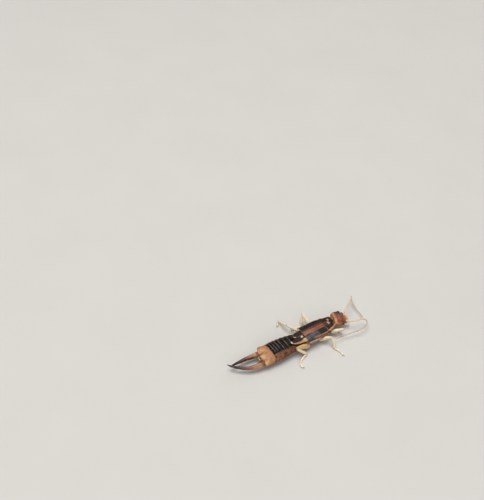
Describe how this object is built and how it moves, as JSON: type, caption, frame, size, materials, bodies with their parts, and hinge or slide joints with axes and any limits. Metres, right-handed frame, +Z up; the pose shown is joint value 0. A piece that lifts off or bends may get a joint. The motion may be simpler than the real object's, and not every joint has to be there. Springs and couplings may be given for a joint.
{
  "type": "male shore earwig",
  "caption": "Slender winged earwig standing on its legs, with long thread-like feelers and long curved crossing pincers at the tail.",
  "frame": {"origin": "middle of the animal's box, at the floor it stands on", "axes": "+Z up, the animal faces -Y with its pincers toward +Y, its left side toward +X"},
  "size_m": [0.0134, 0.0312, 0.0031],
  "materials": {
    "head_shell": "half-gloss reddish brown horn, paler behind the eyes",
    "eye": "glossy black, fine facets",
    "mouth_parts": "half-gloss brown horn",
    "feeler": "satin straw brown, finely haired, greyer to the tip",
    "underside": "satin tan horn and membrane",
    "neck_shield": "half-gloss dark brown with tan edges",
    "wing_case": "leathery dark brown, red-brown along the mid line, tan outer edge",
    "wing_tip": "dark satin, pale outer margin",
    "body_ring": "half-gloss blackish brown, red-brown sides, finely pitted",
    "last_plate": "half-gloss orange tan with a darker mid furrow",
    "pincer": "glossy red-brown, tan root, blackish tip",
    "leg": "half-gloss cream straw, finely haired"
  },
  "bodies": {
    "root": {"head": "head_shell", "eye_left": "eye", "eye_right": "eye", "neck": "underside", "labrum": "mouth_parts", "mandible_left": "mouth_parts", "mandible_right": "mouth_parts", "labium": "mouth_parts", "palp_left": "feeler", "palp_right": "feeler", "antenna_left_scape": "feeler", "antenna_left_flagellum_1": "feeler", "antenna_left_flagellum_2": "feeler", "antenna_left_flagellum_3": "feeler", "antenna_right_scape": "feeler", "antenna_right_flagellum_1": "feeler", "antenna_right_flagellum_2": "feeler", "antenna_right_flagellum_3": "feeler", "abdomen_1": "body_ring", "abdomen_2": "body_ring", "abdomen_3": "body_ring", "abdomen_4": "body_ring", "abdomen_5": "body_ring", "abdomen_6": "body_ring", "abdomen_7": "body_ring", "abdomen_8": "body_ring", "abdomen_9": "body_ring", "prothorax": "underside", "mesothorax": "underside", "metathorax": "underside", "pronotum": "neck_shield", "tegmen_left": "wing_case", "tegmen_right": "wing_case", "wing_tip_left": "wing_tip", "wing_tip_right": "wing_tip", "foreleg_right_femur": "leg", "foreleg_right_tibia": "leg", "foreleg_right_tarsus": "leg", "foreleg_left_femur": "leg", "foreleg_left_tibia": "leg", "foreleg_left_tarsus": "leg", "midleg_right_femur": "leg", "midleg_right_tibia": "leg", "midleg_right_tarsus": "leg", "midleg_left_femur": "leg", "midleg_left_tibia": "leg", "midleg_left_tarsus": "leg", "hindleg_right_femur": "leg", "hindleg_right_tibia": "leg", "hindleg_right_tarsus": "leg", "hindleg_left_femur": "leg", "hindleg_left_tibia": "leg", "hindleg_left_tarsus": "leg", "abdomen_10": "last_plate", "forceps_right": "pincer", "forceps_left": "pincer", "pygidium": "last_plate"}
  },
  "joints": []
}
